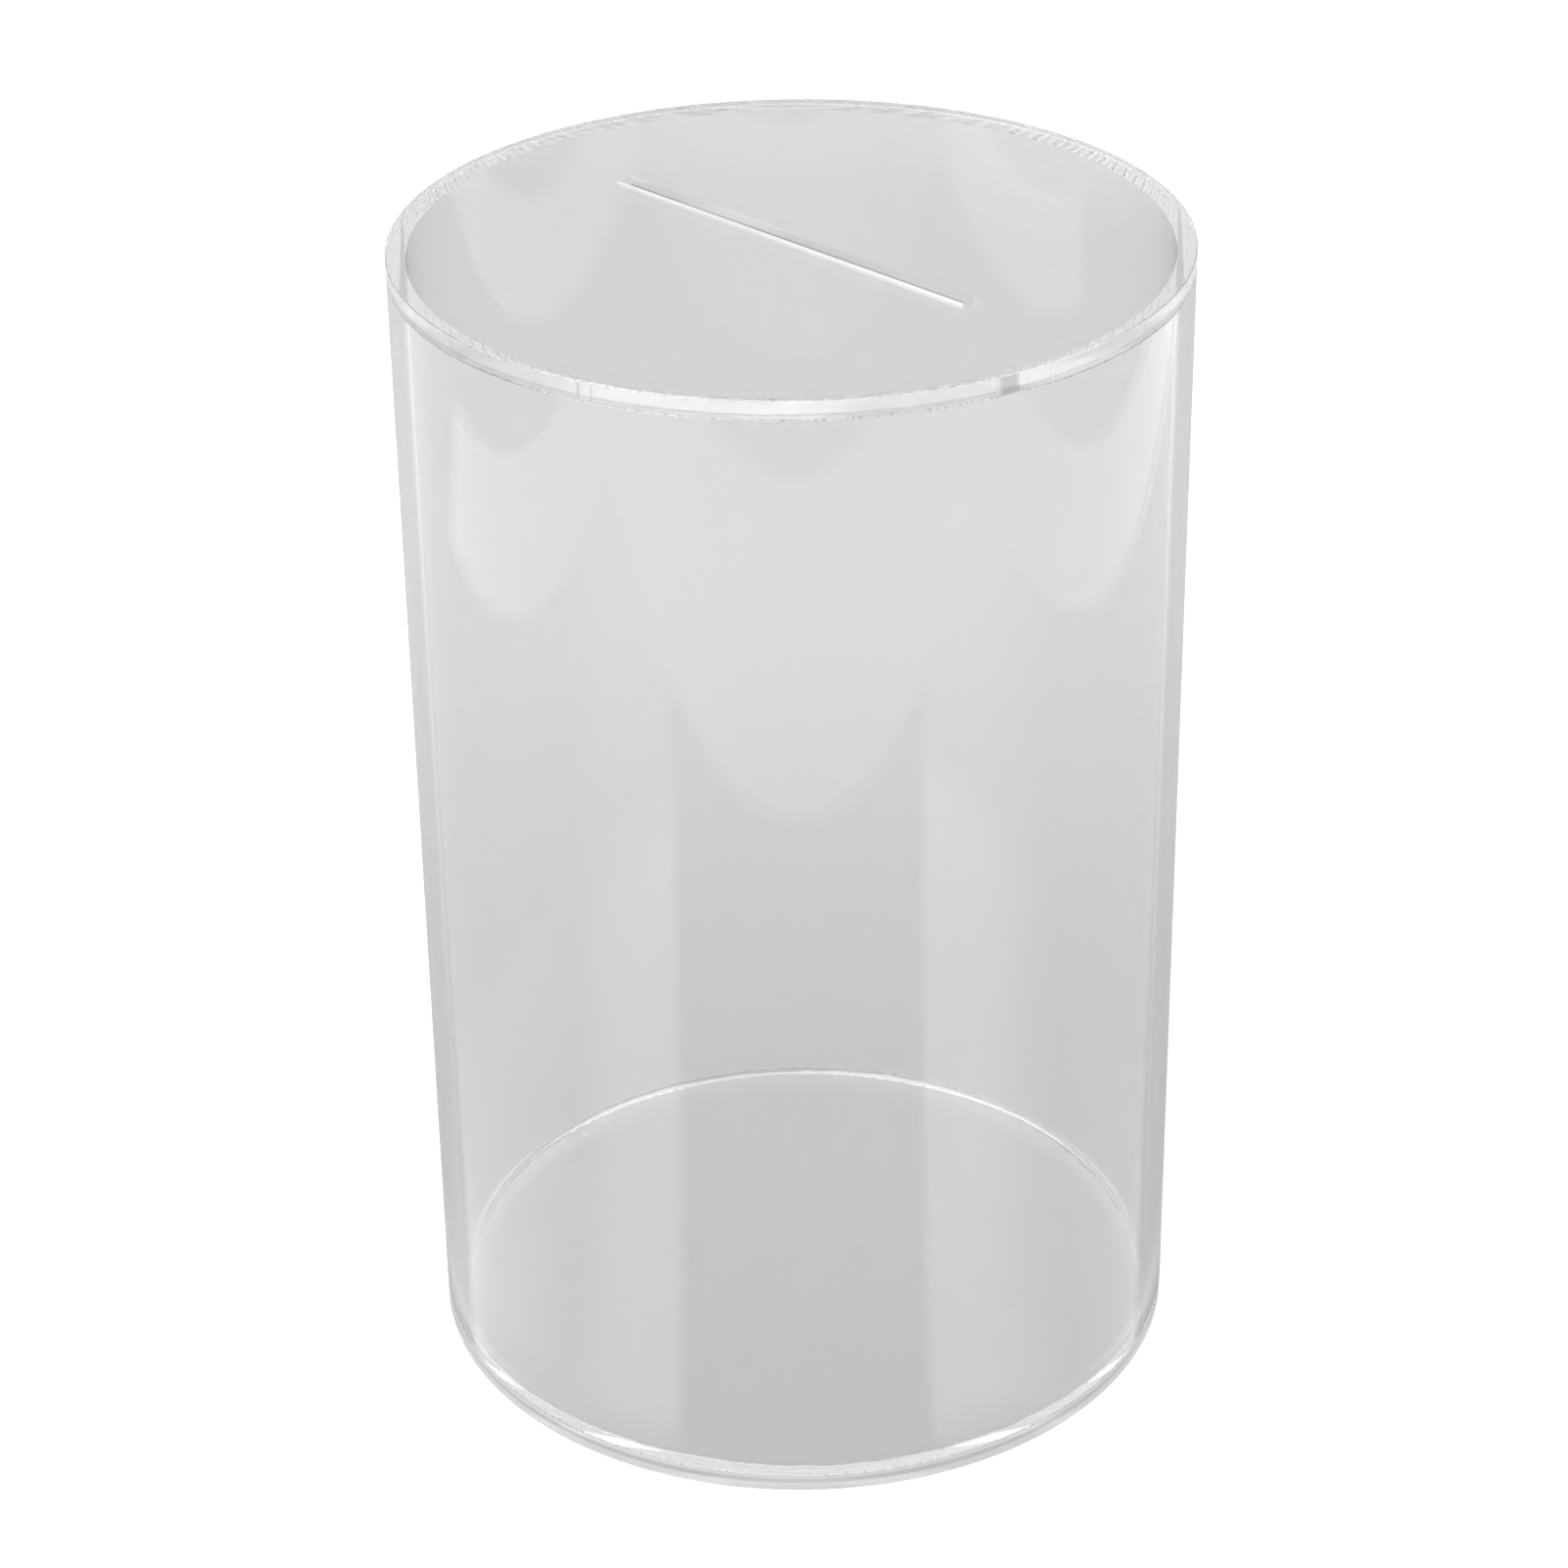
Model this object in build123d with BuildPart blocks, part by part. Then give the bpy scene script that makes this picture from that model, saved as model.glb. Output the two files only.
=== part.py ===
"""Round ballot box: a clear acrylic tube closed by two flat discs, the upper one with a letter slot.

The box stands on its base disc. The origin is the centre of its underside, +Z is up,
and the letter slot runs along X. All lengths are in millimetres.
"""

import os
from build123d import *

os.makedirs("parts", exist_ok=True)

# The tube, whose outside both discs follow
tube_diameter = 200.0
tube_wall = 5.0
tube_length = 300.0

# The two discs, cut from flat sheet
base_thickness = 5.0
lid_thickness = 5.0

# The letter slot through the lid
slot_length = 120.0
slot_width = 5.0
slot_corner_radius = 0.5

# Every outer rim is eased, so that a fine V-shaped line shows where a disc meets the tube
eased_rim = 0.2

# The bead of clear cement in the corner between the base disc and the bore
bead_height = 1.2
bead_reach = 1.0
bead_waist_share = 0.36

outer_radius = tube_diameter / 2
bore_radius = outer_radius - tube_wall
tube_bottom = base_thickness
tube_top = tube_bottom + tube_length


# Base disc: a plain disc, flush with the outside of the tube that stands on it
with BuildPart() as base_disc:
    with BuildSketch(Plane.XY):
        Circle(outer_radius)
    extrude(amount=base_thickness)
    chamfer(base_disc.edges().filter_by(GeomType.CIRCLE), length=eased_rim)

base_disc.part.label = "base_disc"


# Tube: square-cut at both ends, with its outer rims eased and its bore left sharp
with BuildPart() as tube:
    with BuildSketch(Plane.XY.offset(tube_bottom)):
        Circle(outer_radius)
        Circle(bore_radius, mode=Mode.SUBTRACT)
    extrude(amount=tube_length)
    rims = tube.edges().filter_by(GeomType.CIRCLE).group_by(SortBy.RADIUS)[-1]
    chamfer(rims, length=eased_rim)

tube.part.label = "tube"


# Cement bead: a thin ring in the corner, its face hollow at the waist, as cement creeps up the bore
# and out over the disc
with BuildPart() as cement_bead:
    with BuildSketch(Plane.XZ):
        with BuildLine():
            corner = (bore_radius, tube_bottom)
            toe = (bore_radius - bead_reach, tube_bottom)
            waist = (
                bore_radius - bead_reach * bead_waist_share,
                tube_bottom + bead_height * bead_waist_share,
            )
            crest = (bore_radius, tube_bottom + bead_height)
            Polyline(corner, toe, waist, crest, close=True)
        make_face()
    revolve(axis=Axis.Z)

cement_bead.part.label = "cement_bead"


# Lid: a disc like the base, lying on the tube's upper rim, with the letter slot across its middle
with BuildPart() as lid:
    with BuildSketch(Plane.XY.offset(tube_top)):
        Circle(outer_radius)
        RectangleRounded(slot_length, slot_width, slot_corner_radius, mode=Mode.SUBTRACT)
    extrude(amount=lid_thickness)
    rims = lid.edges().filter_by(GeomType.CIRCLE).group_by(SortBy.RADIUS)[-1]
    chamfer(rims, length=eased_rim)

lid.part.label = "lid"


export_step(base_disc.part, "parts/base_disc.step")
export_step(tube.part, "parts/tube.step")
export_step(cement_bead.part, "parts/cement_bead.step")
export_step(lid.part, "parts/lid.step")
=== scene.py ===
"""Looks of the round clear acrylic ballot box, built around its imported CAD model. Lengths are in metres."""

import math

import bmesh
import bpy
from mathutils import Matrix, Vector, noise


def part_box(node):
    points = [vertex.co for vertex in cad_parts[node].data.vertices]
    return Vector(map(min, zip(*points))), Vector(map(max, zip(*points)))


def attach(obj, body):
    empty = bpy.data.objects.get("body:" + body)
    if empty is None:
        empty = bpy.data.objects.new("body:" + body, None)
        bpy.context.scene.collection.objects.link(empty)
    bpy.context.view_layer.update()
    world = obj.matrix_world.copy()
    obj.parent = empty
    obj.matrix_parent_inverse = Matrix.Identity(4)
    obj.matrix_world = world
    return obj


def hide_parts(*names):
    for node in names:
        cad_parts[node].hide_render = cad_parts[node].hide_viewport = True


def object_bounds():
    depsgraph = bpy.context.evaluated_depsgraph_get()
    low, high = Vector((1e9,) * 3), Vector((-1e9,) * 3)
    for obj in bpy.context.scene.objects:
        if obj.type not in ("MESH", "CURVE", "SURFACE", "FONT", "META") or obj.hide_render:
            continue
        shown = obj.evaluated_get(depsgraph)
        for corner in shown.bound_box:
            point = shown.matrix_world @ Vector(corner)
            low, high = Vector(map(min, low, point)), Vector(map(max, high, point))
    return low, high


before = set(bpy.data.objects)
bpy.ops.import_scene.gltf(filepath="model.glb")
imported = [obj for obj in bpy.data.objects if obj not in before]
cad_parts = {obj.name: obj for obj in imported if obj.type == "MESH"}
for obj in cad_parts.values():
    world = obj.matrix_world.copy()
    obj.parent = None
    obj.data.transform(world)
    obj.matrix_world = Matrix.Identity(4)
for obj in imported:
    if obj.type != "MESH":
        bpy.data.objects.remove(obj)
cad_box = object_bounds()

# Places that the CAD model gives
tube_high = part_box("tube")[1]
base_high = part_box("base_disc")[1]
lid_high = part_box("lid")[1]
bead_low, bead_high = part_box("cement_bead")
outer_radius = cad_box[1].y
bore_radius = bead_high.x
base_top = base_high.z
tube_top = tube_high.z
lid_top = lid_high.z
bead_height = bead_high.z - bead_low.z

# Sizes that the CAD model has too, but that no box gives
eased_rim = 0.0002
bead_reach = 0.001
slot_length = 0.120
slot_width = 0.005
slot_corner_radius = 0.0005
slot_corner_steps = 6

# The loose lid's underside lies this little above the tube's rim, with air in between
lid_clearance = 0.00002

# Steps round a circle
round_steps = 720

# The photograph's camera stands off the slot's line by this angle
photo_turn = math.radians(45)


def shader(material, kind, **inputs):
    """A new node in a material's tree, with its input sockets set by name."""
    node = material.node_tree.nodes.new(kind)
    for name, value in inputs.items():
        node.inputs[name.replace("_", " ")].default_value = value
    return node


def math_node(material, operation, *values):
    """A math node fed by sockets or numbers. Gives its output."""
    node = material.node_tree.nodes.new("ShaderNodeMath")
    node.operation = operation
    for i, value in enumerate(values):
        if isinstance(value, bpy.types.NodeSocket):
            material.node_tree.links.new(value, node.inputs[i])
        else:
            node.inputs[i].default_value = value
    return node.outputs[0]


def ramp(material, value, low, high, result_low=0.0, result_high=1.0):
    """Result_low below low, result_high above high, and smooth in between."""
    node = shader(
        material, "ShaderNodeMapRange", From_Min=low, From_Max=high, To_Min=result_low, To_Max=result_high
    )
    node.interpolation_type = "SMOOTHSTEP"
    material.node_tree.links.new(value, node.inputs["Value"])
    return node.outputs["Result"]


def product(material, *values):
    result = values[0]
    for value in values[1:]:
        result = math_node(material, "MULTIPLY", result, value)
    return result


def total(material, *values):
    result = values[0]
    for value in values[1:]:
        result = math_node(material, "ADD", result, value)
    return result


def between(material, value, low, high, soft):
    """1 from low to high and 0 outside them, with soft ends."""
    return product(
        material,
        ramp(material, value, low - soft, low + soft),
        ramp(material, value, high - soft, high + soft, 1.0, 0.0),
    )


def object_place(material, turn=0.0):
    """A point's X, Y and Z in the object's frame, or in that frame turned about Z."""
    links = material.node_tree.links
    place = shader(material, "ShaderNodeTexCoord")
    turned = shader(material, "ShaderNodeMapping", Rotation=(0, 0, -turn))
    split = shader(material, "ShaderNodeSeparateXYZ")
    links.new(place.outputs["Object"], turned.inputs["Vector"])
    links.new(turned.outputs["Vector"], split.inputs["Vector"])
    return split.outputs["X"], split.outputs["Y"], split.outputs["Z"]


def empty_material(name):
    material = bpy.data.materials.new(name)
    material.use_nodes = True
    material.node_tree.nodes.clear()
    return material


def grey(value):
    return (value, value, value, 1)


# Acrylic

acrylic_ior = 1.49
acrylic_shadow = 0.92

# A thin grey film on each open acrylic face lets these shares of the light through, at any angle apart
# from the glancing ones below. The inner share is that of the bore, the tube's rim, the lid's underside
# and the base's top.
inner_share = 0.68
film_share = 0.735
# Painted light at the tube's left and painted shade at its right, in the film on its outside
painted_left_light = 0.004
painted_right_shade = 0.056
lid_share = 0.704
# Painted light on the lid's top towards its back and its right
lid_back_painted_light = 0.040
lid_right_painted_light = 0.055
slot_share = 0.58
# The eased rim and the two eased seams are one finish; their different shares are painted light and shade
# that make each seam lighter or darker
eased_share = 0.58
lid_seam_share = 0.66
base_seam_share = 0.78
base_edge_share = 0.60
lid_edge_share = 0.66
# Painted light on the lid's cut edge at its front
lid_edge_painted_front_light = 0.12

# Between these glancing angles, light that goes in through the tube's outside begins to miss the bore and
# stays in the wall, so the outside takes the inner share there too, which adds painted shade along the tube's
# outline to what the wall itself does
wall_only_from = 0.69
wall_only_full = 0.76

# Painted dark lines, and one painted light line, round the cut edges: lowest and highest above the disc's
# underside, and the share's change there
line_soft = 0.00008
lid_edge_painted_lines = ((0.0000, 0.0005, -0.20), (0.0005, 0.0012, -0.12), (0.0012, 0.0016, -0.24))
base_edge_painted_lines = ((0.0024, 0.0037, -0.20),)
slot_painted_lines = ((0.0044, 0.0048, 0.06), (0.0018, 0.0027, -0.32))

# Dark marks in the lid's edge, by their places along the photograph's X
lid_edge_marks = (-0.0492, -0.0462)
mark_half_width = 0.0002
mark_gain = -0.16

# Stretches over which the shares change, along the photograph's X or away from its camera
film_left_run = (-0.095, -0.03)
film_right_run = (0.080, 0.100)
lid_back_run = (0.02, 0.095)
lid_right_run = (0.02, 0.07)
lid_right_back_run = (-0.02, 0.05)
lid_edge_left_run = (-0.058, -0.046)
lid_edge_middle_run = (-0.025, -0.003)
lid_edge_right_run = (0.002, 0.020)
lid_edge_front_run = (-0.06, -0.03)

# Left of its middle stretch the lid's edge has this share of its painted front light
lid_edge_middle_share = 0.62

# In front of the slot the lid's top is clearer, as a painted highlight, so that the slot's near wall shows
# bright through it, and a little less clear, as painted shade, over the rest of that wall. The runs are
# lengths from the slot's near edge.
slot_wall_run = 0.0016
slot_wall_painted_highlight = 0.10
slot_rest_run = 0.0034
slot_rest_painted_shade = -0.03
slot_wall_soft = 0.0001
slot_end_soft = 0.0003


def add_film(material, surface, film):
    """A thin grey film over a surface as seen from outside, which takes as much light at every angle."""
    links = material.node_tree.links
    side = shader(material, "ShaderNodeNewGeometry")
    outside = math_node(material, "SUBTRACT", 1.0, side.outputs["Backfacing"])
    turn = shader(material, "ShaderNodeLayerWeight", Blend=0.5)
    facing = math_node(material, "SUBTRACT", 1.0, turn.outputs["Facing"])
    surface.inputs["Coat IOR"].default_value = 1.0
    surface.inputs["Coat Roughness"].default_value = 0.0
    links.new(outside, surface.inputs["Coat Weight"])
    links.new(math_node(material, "POWER", film, facing), surface.inputs["Coat Tint"])


def clear(name, tint=1.0, transmission=1.0):
    """Clear acrylic that lets the lamps' light through. Gives the material and its Principled shader."""
    material = empty_material(name)
    links = material.node_tree.links
    surface = shader(
        material,
        "ShaderNodeBsdfPrincipled",
        Base_Color=grey(tint),
        Roughness=0.0,
        IOR=acrylic_ior,
        Transmission_Weight=transmission,
    )
    lamp_light = shader(material, "ShaderNodeBsdfTransparent", Color=grey(acrylic_shadow))
    ray = shader(material, "ShaderNodeLightPath")
    either = shader(material, "ShaderNodeMixShader")
    output = shader(material, "ShaderNodeOutputMaterial")
    links.new(ray.outputs["Is Shadow Ray"], either.inputs[0])
    links.new(surface.outputs[0], either.inputs[1])
    links.new(lamp_light.outputs[0], either.inputs[2])
    links.new(either.outputs[0], output.inputs["Surface"])
    return material, surface


def streaks(material, surface, across, along, depth, roughness):
    """Fine upright streaks, as a laser leaves them: noise that is fine round the edge and long in Z."""
    links = material.node_tree.links
    place = shader(material, "ShaderNodeTexCoord")
    stretch = shader(material, "ShaderNodeMapping", Scale=(across, across, along))
    grain = shader(material, "ShaderNodeTexNoise", Scale=1.0, Detail=3.0, Roughness=0.6)
    bump = shader(material, "ShaderNodeBump", Strength=1.0, Distance=depth)
    haze = shader(
        material, "ShaderNodeMapRange", From_Min=0.35, From_Max=0.65, To_Min=roughness[0], To_Max=roughness[1]
    )
    links.new(place.outputs["Object"], stretch.inputs["Vector"])
    links.new(stretch.outputs["Vector"], grain.inputs["Vector"])
    links.new(grain.outputs["Fac"], bump.inputs["Height"])
    links.new(bump.outputs["Normal"], surface.inputs["Normal"])
    links.new(grain.outputs["Fac"], haze.inputs["Value"])
    links.new(haze.outputs["Result"], surface.inputs["Roughness"])


def polished_acrylic(name):
    """Smooth faces of the tube and the sheets, with the faint waviness of extruded and cast acrylic."""
    material, surface = clear(name)
    links = material.node_tree.links
    place = shader(material, "ShaderNodeTexCoord")
    waves = shader(material, "ShaderNodeTexNoise", Scale=40.0, Detail=1.0)
    bump = shader(material, "ShaderNodeBump", Strength=1.0, Distance=0.000004)
    links.new(place.outputs["Object"], waves.inputs["Vector"])
    links.new(waves.outputs["Fac"], bump.inputs["Height"])
    links.new(bump.outputs["Normal"], surface.inputs["Normal"])
    return material, surface


def inner_skin():
    """The smooth faces inside the box, and the rim that the lid lies on."""
    material, surface = polished_acrylic("inner_skin")
    add_film(material, surface, inner_share)
    return material


def plain_skin():
    """The tube's outside and the base's underside, with painted light that makes them a little clearer at the
    left and painted shade that makes them darker at the right.

    At glancing angles they take the inner share too, as painted shade along the tube's outline.
    """
    material, surface = polished_acrylic("outer_skin")
    x = object_place(material, photo_turn)[0]
    left = ramp(material, x, *film_left_run, painted_left_light, 0.0)
    right = ramp(material, x, *film_right_run, 0.0, -painted_right_shade)
    turn = shader(material, "ShaderNodeLayerWeight", Blend=0.5)
    glancing = ramp(material, turn.outputs["Facing"], wall_only_from, wall_only_full, 1.0, inner_share)
    add_film(material, surface, product(material, total(material, film_share, left, right), glancing))
    return material


def lid_skin():
    """The lid's top, which is clearer in front of the slot, as a painted highlight that makes the slot's near
    wall show bright, and clearer towards its back and its right, as painted light.

    The photograph looks along a line 45 degrees off the slot, so the stretch beside the slot is slanted.
    """
    material, surface = polished_acrylic("lid_skin")
    x, y = object_place(material)[:2]
    near_edge = -slot_width / 2
    wall_end = near_edge - slot_wall_run
    rest_end = near_edge - slot_rest_run
    half_length = slot_length / 2
    along = math_node(material, "ABSOLUTE", total(material, x, y, -near_edge))
    beside = ramp(material, along, half_length - slot_end_soft, half_length + slot_end_soft, 1.0, 0.0)
    wall = between(material, y, wall_end, near_edge, slot_wall_soft)
    rest = between(material, y, rest_end, wall_end, slot_wall_soft)
    # Painted highlight over the near wall's stretch and painted shade over the rest
    slot = total(material, product(material, wall, slot_wall_painted_highlight), product(material, rest, slot_rest_painted_shade))
    across, depth = object_place(material, photo_turn)[:2]
    # Painted light towards the lid's back and right
    back = ramp(material, depth, *lid_back_run, 0.0, lid_back_painted_light)
    right_side = ramp(material, across, *lid_right_run, 0.0, lid_right_painted_light)
    right = product(material, right_side, ramp(material, depth, *lid_right_back_run))
    add_film(material, surface, total(material, lid_share, back, right, product(material, beside, slot)))
    return material


def with_painted_lines(material, share, z, underside, lines):
    """A cut edge's share of the light, with the painted lines of shade and light round that edge."""
    for low, high, gain in lines:
        line = between(material, z, underside + low, underside + high, line_soft)
        share = product(material, share, total(material, 1.0, product(material, line, gain)))
    return share


def laser_cut_lid():
    """The lid's cut edge, with painted light that makes it clearest at the front."""
    material, surface = clear("laser_cut_lid")
    x, y, z = object_place(material, photo_turn)
    left = ramp(material, x, *lid_edge_left_run)
    middle = ramp(material, x, *lid_edge_middle_run, lid_edge_middle_share, 1.0)
    right = ramp(material, x, *lid_edge_right_run, 1.0, 0.0)
    front = ramp(material, y, *lid_edge_front_run, 1.0, 0.0)
    light = product(material, left, middle, right, front, lid_edge_painted_front_light)
    marks = 0.0
    for place in lid_edge_marks:
        low = place - mark_half_width
        high = place + mark_half_width
        marks = total(material, marks, between(material, x, low, high, mark_half_width))
    dark = product(material, marks, front, mark_gain)
    share = with_painted_lines(material, total(material, lid_edge_share, light, dark), z, tube_top, lid_edge_painted_lines)
    add_film(material, surface, share)
    streaks(material, surface, across=1400.0, along=60.0, depth=0.00001, roughness=(0.05, 0.2))
    return material


def laser_cut_base():
    """The base's cut edge, which is milkier than the lid's."""
    material, surface = clear("laser_cut_base", tint=0.97, transmission=0.4)
    z = object_place(material)[2]
    add_film(material, surface, with_painted_lines(material, base_edge_share, z, 0.0, base_edge_painted_lines))
    streaks(material, surface, across=1400.0, along=60.0, depth=0.00002, roughness=(0.02, 0.14))
    return material


def laser_cut_slot():
    """The slot's walls, which the laser leaves finely matt and streaked."""
    material, surface = clear("laser_cut_slot", tint=0.97, transmission=0.5)
    z = object_place(material)[2]
    add_film(material, surface, with_painted_lines(material, slot_share, z, tube_top, slot_painted_lines))
    streaks(material, surface, across=1400.0, along=60.0, depth=0.000008, roughness=(0.05, 0.2))
    return material


def eased_acrylic(name, share):
    """Rims eased by hand, which leaves them finely matt."""
    material, surface = clear(name, tint=0.97, transmission=0.6)
    add_film(material, surface, share)
    streaks(material, surface, across=900.0, along=900.0, depth=0.00001, roughness=(0.2, 0.4))
    return material


def cement():
    material, surface = clear("hardened_cement", tint=0.97, transmission=0.9)
    streaks(material, surface, across=700.0, along=700.0, depth=0.0001, roughness=(0.0, 0.2))
    return material


def bonded_faces():
    """Faces that clear cement joins to the next piece, so that light goes straight through."""
    material = empty_material("joined_face")
    through = shader(material, "ShaderNodeBsdfTransparent", Color=grey(1.0))
    output = shader(material, "ShaderNodeOutputMaterial")
    material.node_tree.links.new(through.outputs[0], output.inputs["Surface"])
    return material


POLISHED, SKIN, LID_SKIN, LID_CUT, BASE_CUT, SLOT_CUT, EASED, LID_SEAM, BASE_SEAM, JOINED = range(10)
acrylic = [
    inner_skin(),
    plain_skin(),
    lid_skin(),
    laser_cut_lid(),
    laser_cut_base(),
    laser_cut_slot(),
    eased_acrylic("eased_rim", eased_share),
    eased_acrylic("eased_lid_seam", lid_seam_share),
    eased_acrylic("eased_base_seam", base_seam_share),
    bonded_faces(),
]


# Meshes


def steps():
    return [2 * math.pi * i / round_steps for i in range(round_steps)]


def ring(bm, radius, height):
    """A ring of points. Radius and height are lengths, or functions of the angle."""
    points = []
    for a in steps():
        r = radius(a) if callable(radius) else radius
        z = height(a) if callable(height) else height
        points.append(bm.verts.new((r * math.cos(a), r * math.sin(a), z)))
    return points


def strip(bm, one, other, finish):
    """Faces between two rings with as many points."""
    for i in range(len(one)):
        j = (i + 1) % len(one)
        face = bm.faces.new((one[i], one[j], other[j], other[i]))
        face.material_index = finish


def cap(bm, rim, height, finish):
    """Faces from a ring to the middle."""
    middle = bm.verts.new((0, 0, height))
    for i in range(len(rim)):
        face = bm.faces.new((rim[i], rim[(i + 1) % len(rim)], middle))
        face.material_index = finish


def loop_edges(bm, points):
    """The edges of a closed loop of points, which are new where there are none yet."""
    edges = []
    for i in range(len(points)):
        ends = (points[i - 1], points[i])
        edges.append(bm.edges.get(ends) or bm.edges.new(ends))
    return edges


def fill(bm, rim, hole, finish):
    """Flat faces between a ring and a hole in it."""
    edges = loop_edges(bm, rim) + loop_edges(bm, hole)
    made = bmesh.ops.triangle_fill(bm, edges=edges, use_beauty=True, normal=(0, 0, 1))
    for item in made["geom"]:
        if isinstance(item, bmesh.types.BMFace):
            item.material_index = finish


def piece(name, bm, materials, body, node):
    """Makes an object of a finished mesh, which rides on a body in place of a CAD node."""
    bmesh.ops.recalc_face_normals(bm, faces=bm.faces)
    mesh = bpy.data.meshes.new(name)
    bm.to_mesh(mesh)
    bm.free()
    for material in materials:
        mesh.materials.append(material)
    mesh.polygons.foreach_set("use_smooth", [True] * len(mesh.polygons))
    mesh.set_sharp_from_angle(angle=math.radians(30))
    made = bpy.data.objects.new(name, mesh)
    bpy.context.scene.collection.objects.link(made)
    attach(made, body)
    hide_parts(node)


def round_noise(a, scale, level):
    """Smooth noise round a circle, which meets itself again after a full turn."""
    return noise.noise(Vector((scale * math.cos(a), scale * math.sin(a), level)))


def bead_share(a):
    """How full the cement bead is at an angle, as a share of its largest section."""
    least = 0.25
    usual = 0.68
    slow = 0.35 * round_noise(a, scale=3, level=0.5)
    quick = 0.3 * round_noise(a, scale=22, level=7.5)
    return max(least, min(1.0, usual + slow + quick))


def bead_toe(a):
    return bore_radius - bead_reach * bead_share(a)


def bead_crest(a):
    return base_top + bead_height * bead_share(a)


def make_tube():
    bm = bmesh.new()
    foot = ring(bm, bore_radius, base_top)
    low_inner = ring(bm, outer_radius - eased_rim, base_top)
    low_outer = ring(bm, outer_radius, base_top + eased_rim)
    high_outer = ring(bm, outer_radius, tube_top - eased_rim)
    high_inner = ring(bm, outer_radius - eased_rim, tube_top)
    mouth = ring(bm, bore_radius, tube_top)
    bead_line = ring(bm, bore_radius, bead_crest)
    strip(bm, foot, low_inner, JOINED)
    strip(bm, low_inner, low_outer, BASE_SEAM)
    strip(bm, low_outer, high_outer, SKIN)
    strip(bm, high_outer, high_inner, LID_SEAM)
    strip(bm, high_inner, mouth, POLISHED)
    strip(bm, mouth, bead_line, POLISHED)
    strip(bm, bead_line, foot, JOINED)
    piece("acrylic_tube", bm, acrylic, "box", "tube")


def make_base():
    bm = bmesh.new()
    under = ring(bm, outer_radius - eased_rim, 0.0)
    low = ring(bm, outer_radius, eased_rim)
    high = ring(bm, outer_radius, base_top - eased_rim)
    seat = ring(bm, outer_radius - eased_rim, base_top)
    bead_line = ring(bm, bead_toe, base_top)
    cap(bm, under, 0.0, SKIN)
    strip(bm, under, low, EASED)
    strip(bm, low, high, BASE_CUT)
    strip(bm, high, seat, BASE_SEAM)
    strip(bm, seat, bead_line, JOINED)
    cap(bm, bead_line, base_top, POLISHED)
    piece("acrylic_base", bm, acrylic, "box", "base_disc")


def make_bead():
    """The bead's hollow face bends in between its toe on the base and its crest on the bore."""
    waist_share = 0.36
    bm = bmesh.new()
    corner = ring(bm, bore_radius, base_top)
    toe = ring(bm, bead_toe, base_top)
    waist = ring(
        bm,
        lambda a: bore_radius - bead_reach * bead_share(a) * waist_share,
        lambda a: base_top + bead_height * bead_share(a) * waist_share,
    )
    crest = ring(bm, bore_radius, bead_crest)
    open_face, bonded_face = range(2)
    strip(bm, corner, toe, bonded_face)
    strip(bm, toe, waist, open_face)
    strip(bm, waist, crest, open_face)
    strip(bm, crest, corner, bonded_face)
    piece("cement_line", bm, [cement(), acrylic[JOINED]], "box", "cement_bead")


def slot_outline(bm, height):
    """The letter slot's rounded outline, which runs along X."""
    points = []
    half_length = slot_length / 2 - slot_corner_radius
    half_width = slot_width / 2 - slot_corner_radius
    for quarter, (sx, sy) in enumerate(((1, 1), (-1, 1), (-1, -1), (1, -1))):
        for k in range(slot_corner_steps + 1):
            a = math.pi / 2 * (quarter + k / slot_corner_steps)
            x = sx * half_length + slot_corner_radius * math.cos(a)
            y = sy * half_width + slot_corner_radius * math.sin(a)
            points.append(bm.verts.new((x, y, height)))
    return points


def make_lid():
    bm = bmesh.new()
    underside = tube_top + lid_clearance
    inside = ring(bm, bore_radius, underside)
    seat = ring(bm, outer_radius - eased_rim, underside)
    low = ring(bm, outer_radius, tube_top + eased_rim)
    high = ring(bm, outer_radius, lid_top - eased_rim)
    rim = ring(bm, outer_radius - eased_rim, lid_top)
    slot_low = slot_outline(bm, underside)
    slot_high = slot_outline(bm, lid_top)
    fill(bm, inside, slot_low, POLISHED)
    strip(bm, inside, seat, POLISHED)
    strip(bm, seat, low, LID_SEAM)
    strip(bm, low, high, LID_CUT)
    strip(bm, high, rim, EASED)
    fill(bm, rim, slot_high, LID_SKIN)
    strip(bm, slot_low, slot_high, SLOT_CUT)
    piece("acrylic_lid", bm, acrylic, "lid", "lid")


make_tube()
make_base()
make_bead()
make_lid()


# Studio

# The table's sheet is a rectangle about the box, square to the camera, on a lighter table top; both show only
# as painted light in what is mirrored once
sheet_half_width = 0.553
sheet_front = -0.455
table_half_width = 0.70
table_front = -0.726
table_back = 1.2

# Painted light that the bare table top adds to the floor's at the left, right and front, in what the near
# wall mirrors and in what is mirrored further inside
outside_lights = (0.68, 0.51, 0.61)
bore_lights = (2.1, 2.1, 0.88)
fan_light = 1.09
table_edge_soft = 0.006
floor_size = 12.0
floor_gap = 0.0003

# How far behind the box's middle the floor grows brighter, and by how much, as a painted glow seen through
# the box
back_glow_run = (0.05, 0.50)
back_glow = 0.28

# The floor sends back this share of the light that falls on it, so that it keeps the box's shadow, and
# glows by the rest, so that it is white
floor_white = 1.02
floor_albedo = 0.25
lamp_share = 0.05

# Light can go round many times inside the wall before it leaves it
most_bounces = 64


def inside_rectangle(material, x, y, half_width, front, back):
    """1 inside a rectangle on the floor and 0 outside it."""
    soft = table_edge_soft
    width = math_node(material, "ABSOLUTE", x)
    across = ramp(material, width, half_width - soft, half_width + soft, 1.0, 0.0)
    past_front = ramp(material, y, front - soft, front + soft)
    before_back = ramp(material, y, back - soft, back + soft, 1.0, 0.0)
    return product(material, across, past_front, before_back)


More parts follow.
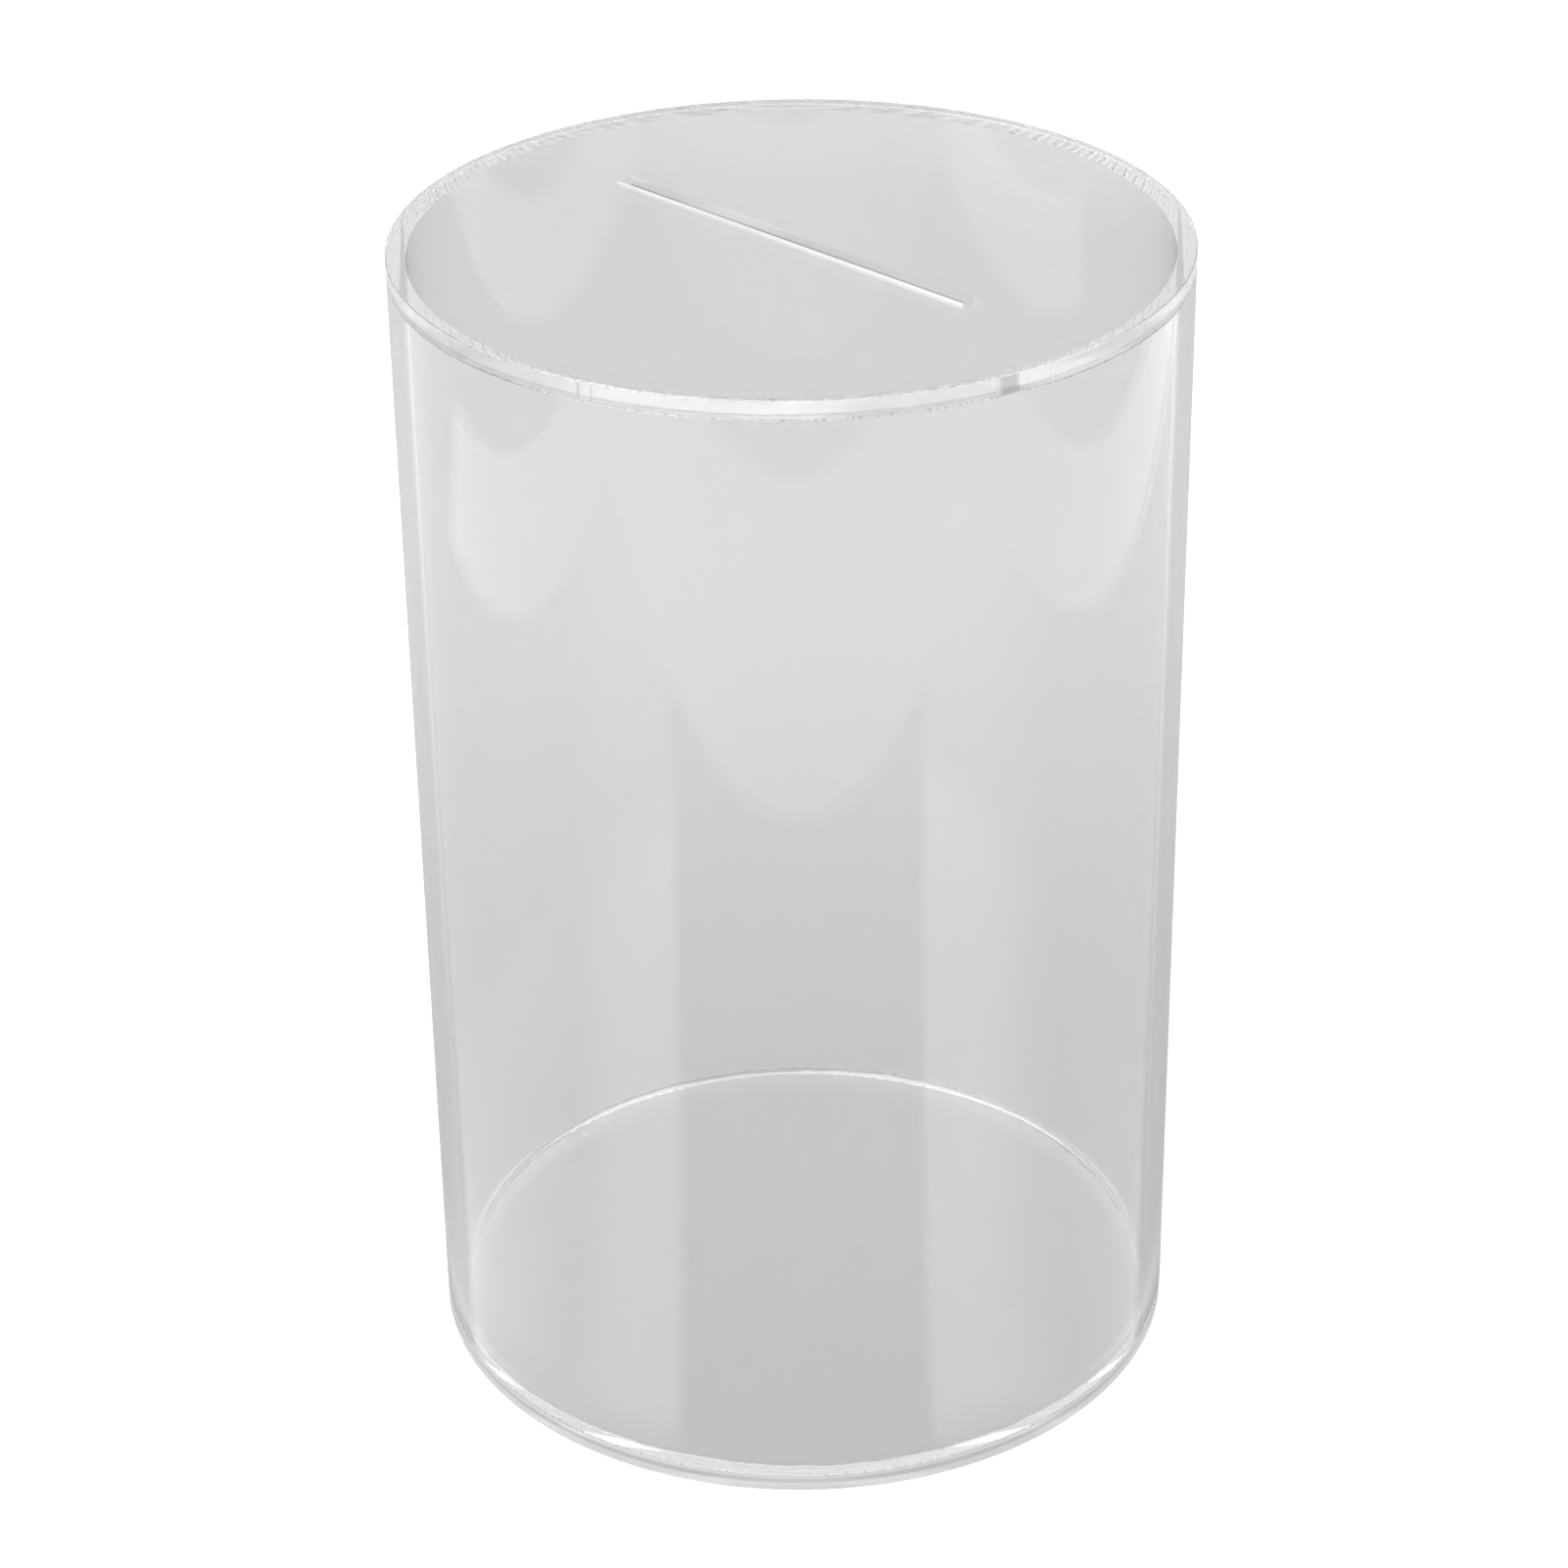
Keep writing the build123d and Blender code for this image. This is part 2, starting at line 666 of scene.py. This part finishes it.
def fans(material, x, y, away):
    """The two fans of painted light that spread over the sheet from the box, one to each side of the front.
    """
    source = -0.045
    near, full, fading, far, left_far = (math.radians(a) for a in (34, 39, 48, 82, 130))
    middle_run = (-0.03, 0.03)
    left_glow = 0.35
    front_reach = 0.565
    more_right_reach = 0.03
    reach_per_radian = -0.155
    foot_run = (0.10, 0.125)
    limit_run = (-0.05, 0.03)
    past_glow = 0.45
    in_front = math_node(material, "SUBTRACT", source, y)
    angle = math_node(material, "ARCTAN2", math_node(material, "ABSOLUTE", x), in_front)
    rise = ramp(material, angle, near, full)
    left_side = ramp(material, x, *middle_run, left_glow, 0.0)
    left = product(material, left_side, ramp(material, angle, far, left_far, 1.0, 0.0))
    fall = math_node(material, "MAXIMUM", ramp(material, angle, fading, far, 1.0, 0.0), left)
    right_reach = ramp(material, x, *middle_run, 0.0, more_right_reach)
    reach = total(material, front_reach, right_reach, product(material, angle, reach_per_radian))
    past = math_node(material, "SUBTRACT", away, reach)
    foot = ramp(material, away, *foot_run)
    limit = ramp(material, past, *limit_run, 1.0, past_glow)
    return product(material, rise, fall, foot, limit)


def table_lights(material, x, y, lights):
    """How bright the painted light of the bare table top round the sheet is, from its left, right and front.
    """
    left_light, right_light, front_light = lights
    front_run = (-0.72, -0.46)
    far_front_share = 0.2
    left_run = (-0.5, 0.2)
    soft = table_edge_soft
    in_front = ramp(material, y, sheet_front - soft, sheet_front + soft, 1.0, 0.0)
    fade = ramp(material, y, *front_run, far_front_share, 1.0)
    return total(
        material,
        right_light,
        ramp(material, x, *left_run, left_light - right_light, 0.0),
        product(material, fade, in_front, front_light - right_light),
    )


def painted_table_reflections(material, x, y, sheet, inner, outer):
    """Painted reflections of the lighter table top round the sheet, apart from its left part behind the box.
    """
    middle_run = (-0.01, 0.01)
    back_run = (0.19, 0.22)
    table = inside_rectangle(material, x, y, table_half_width, table_front, table_back)
    left_back = product(material, ramp(material, x, *middle_run, 1.0, 0.0), ramp(material, y, *back_run))
    lights = total(
        material,
        product(material, outer, table_lights(material, x, y, outside_lights)),
        product(material, inner, table_lights(material, x, y, bore_lights)),
    )
    return product(
        material,
        math_node(material, "SUBTRACT", table, sheet),
        math_node(material, "SUBTRACT", 1.0, left_back),
        lights,
    )


def under_box(material, y, away, inside, piped):
    """Painted light that comes up from the floor through the base, through the wall and round the box's foot.
    """
    base_rim = (0.099, 0.101)
    base_run = (-0.1, 0.1)
    base_glow = (0.04, 0.14)
    wall_run = (0.091, 0.093)
    wall_glow = 0.08
    piped_ring = (0.093, 0.104)
    piped_soft = 0.003
    piped_glow = 0.70
    foot_ring = (0.0992, 0.106)
    foot_soft = 0.0008
    foot_glow = 0.40
    glow = total(
        material, ramp(material, y, *base_run, *base_glow), ramp(material, away, *wall_run, 0.0, wall_glow)
    )
    through_base = product(material, ramp(material, away, *base_rim, 1.0, 0.0), glow)
    through_wall = product(material, piped, between(material, away, *piped_ring, piped_soft), piped_glow)
    round_foot = product(material, inside, between(material, away, *foot_ring, foot_soft), foot_glow)
    return total(material, through_base, through_wall, round_foot)


def floor_material():
    """A white floor. Past its even white its lights are painted glows and painted reflections, and how a ray
    reached it says which of them that ray sees.

    A ray counts the faces that it has gone through and the times that it was mirrored. With more faces than
    the near wall's two it has crossed the inside of the box, and with many mirrorings it has gone along
    inside a wall.
    """
    near_wall_faces = 2
    piped_mirrorings = 5
    half = 0.5
    material = empty_material("pale_floor")
    links = material.node_tree.links
    x, y = object_place(material, photo_turn)[:2]
    square = total(material, product(material, x, x), product(material, y, y))
    away = math_node(material, "SQRT", square)
    ray = shader(material, "ShaderNodeLightPath")
    faces = ray.outputs["Transmission Depth"]
    mirrorings = ray.outputs["Glossy Depth"]
    once = math_node(material, "COMPARE", mirrorings, 1.0, half)
    inside = math_node(material, "GREATER_THAN", faces, half)
    inner = math_node(material, "GREATER_THAN", faces, near_wall_faces + half)
    outer = math_node(material, "SUBTRACT", 1.0, inner)
    piped = math_node(material, "GREATER_THAN", mirrorings, piped_mirrorings - half)
    sheet = inside_rectangle(material, x, y, sheet_half_width, sheet_front, table_back)
    light = total(
        material,
        floor_white - floor_albedo * (1 + lamp_share),
        ramp(material, y, *back_glow_run, 0.0, back_glow),
        under_box(material, y, away, inside, piped),
        product(material, once, painted_table_reflections(material, x, y, sheet, inner, outer)),
        product(material, sheet, outer, fans(material, x, y, away), fan_light, once),
    )
    glow = shader(material, "ShaderNodeEmission")
    links.new(light, glow.inputs["Strength"])
    matt = shader(material, "ShaderNodeBsdfDiffuse", Color=grey(floor_albedo))
    both = shader(material, "ShaderNodeAddShader")
    output = shader(material, "ShaderNodeOutputMaterial")
    links.new(glow.outputs[0], both.inputs[0])
    links.new(matt.outputs[0], both.inputs[1])
    links.new(both.outputs[0], output.inputs["Surface"])
    return material


def make_floor():
    bpy.ops.mesh.primitive_plane_add(size=floor_size, location=(0, 0, -floor_gap))
    floor = bpy.context.object
    floor.name = "studio_floor"
    floor.data.materials.append(floor_material())


def make_world():
    world = bpy.data.worlds.new("studio")
    bpy.context.scene.world = world
    world.use_nodes = True
    world.node_tree.nodes["Background"].inputs["Color"].default_value = grey(1.0)
    world.node_tree.nodes["Background"].inputs["Strength"].default_value = 1.0


def make_lamp(name, place, size, power):
    """A soft lamp that points at the box, about halfway up. Its place is in the photograph's frame."""
    aim = Vector((0, 0, 0.15))
    light = bpy.data.lights.new(name, "AREA")
    light.shape = "RECTANGLE"
    light.size, light.size_y = size
    light.energy = power
    lamp = bpy.data.objects.new(name, light)
    bpy.context.scene.collection.objects.link(lamp)
    lamp.location = Matrix.Rotation(photo_turn, 3, "Z") @ Vector(place)
    lamp.rotation_euler = (aim - lamp.location).to_track_quat("-Z", "Y").to_euler()


def make_camera():
    """The photograph's camera, fitted to the outlines of the tube and the two discs."""
    distance = 0.97207
    height = 0.69272
    pitch = math.radians(28.911)
    yaw = math.radians(0.2154)
    roll = math.radians(-0.8237)
    camera = bpy.data.objects.new("camera", bpy.data.cameras.new("camera"))
    bpy.context.scene.collection.objects.link(camera)
    camera.data.sensor_width = 36.0
    camera.data.lens = 96.42
    stand = Matrix.Rotation(photo_turn, 4, "Z") @ Matrix.Translation((0, -distance, height))
    aim = Matrix.Rotation(yaw, 4, "Z") @ Matrix.Rotation(math.pi / 2 - pitch, 4, "X")
    camera.matrix_world = stand @ aim @ Matrix.Rotation(roll, 4, "Z")
    bpy.context.scene.camera = camera


make_floor()
make_world()
make_lamp("key_lamp", place=(-0.8, -0.5, 1.5), size=(0.8, 0.8), power=14.0)
make_lamp("fill_lamp", place=(0.9, 0.3, 1.4), size=(0.6, 0.9), power=8.0)
make_camera()

scene = bpy.context.scene
scene.view_settings.view_transform = "Standard"
scene.cycles.max_bounces = most_bounces
scene.cycles.transmission_bounces = most_bounces
scene.cycles.glossy_bounces = most_bounces
scene.cycles.transparent_max_bounces = most_bounces
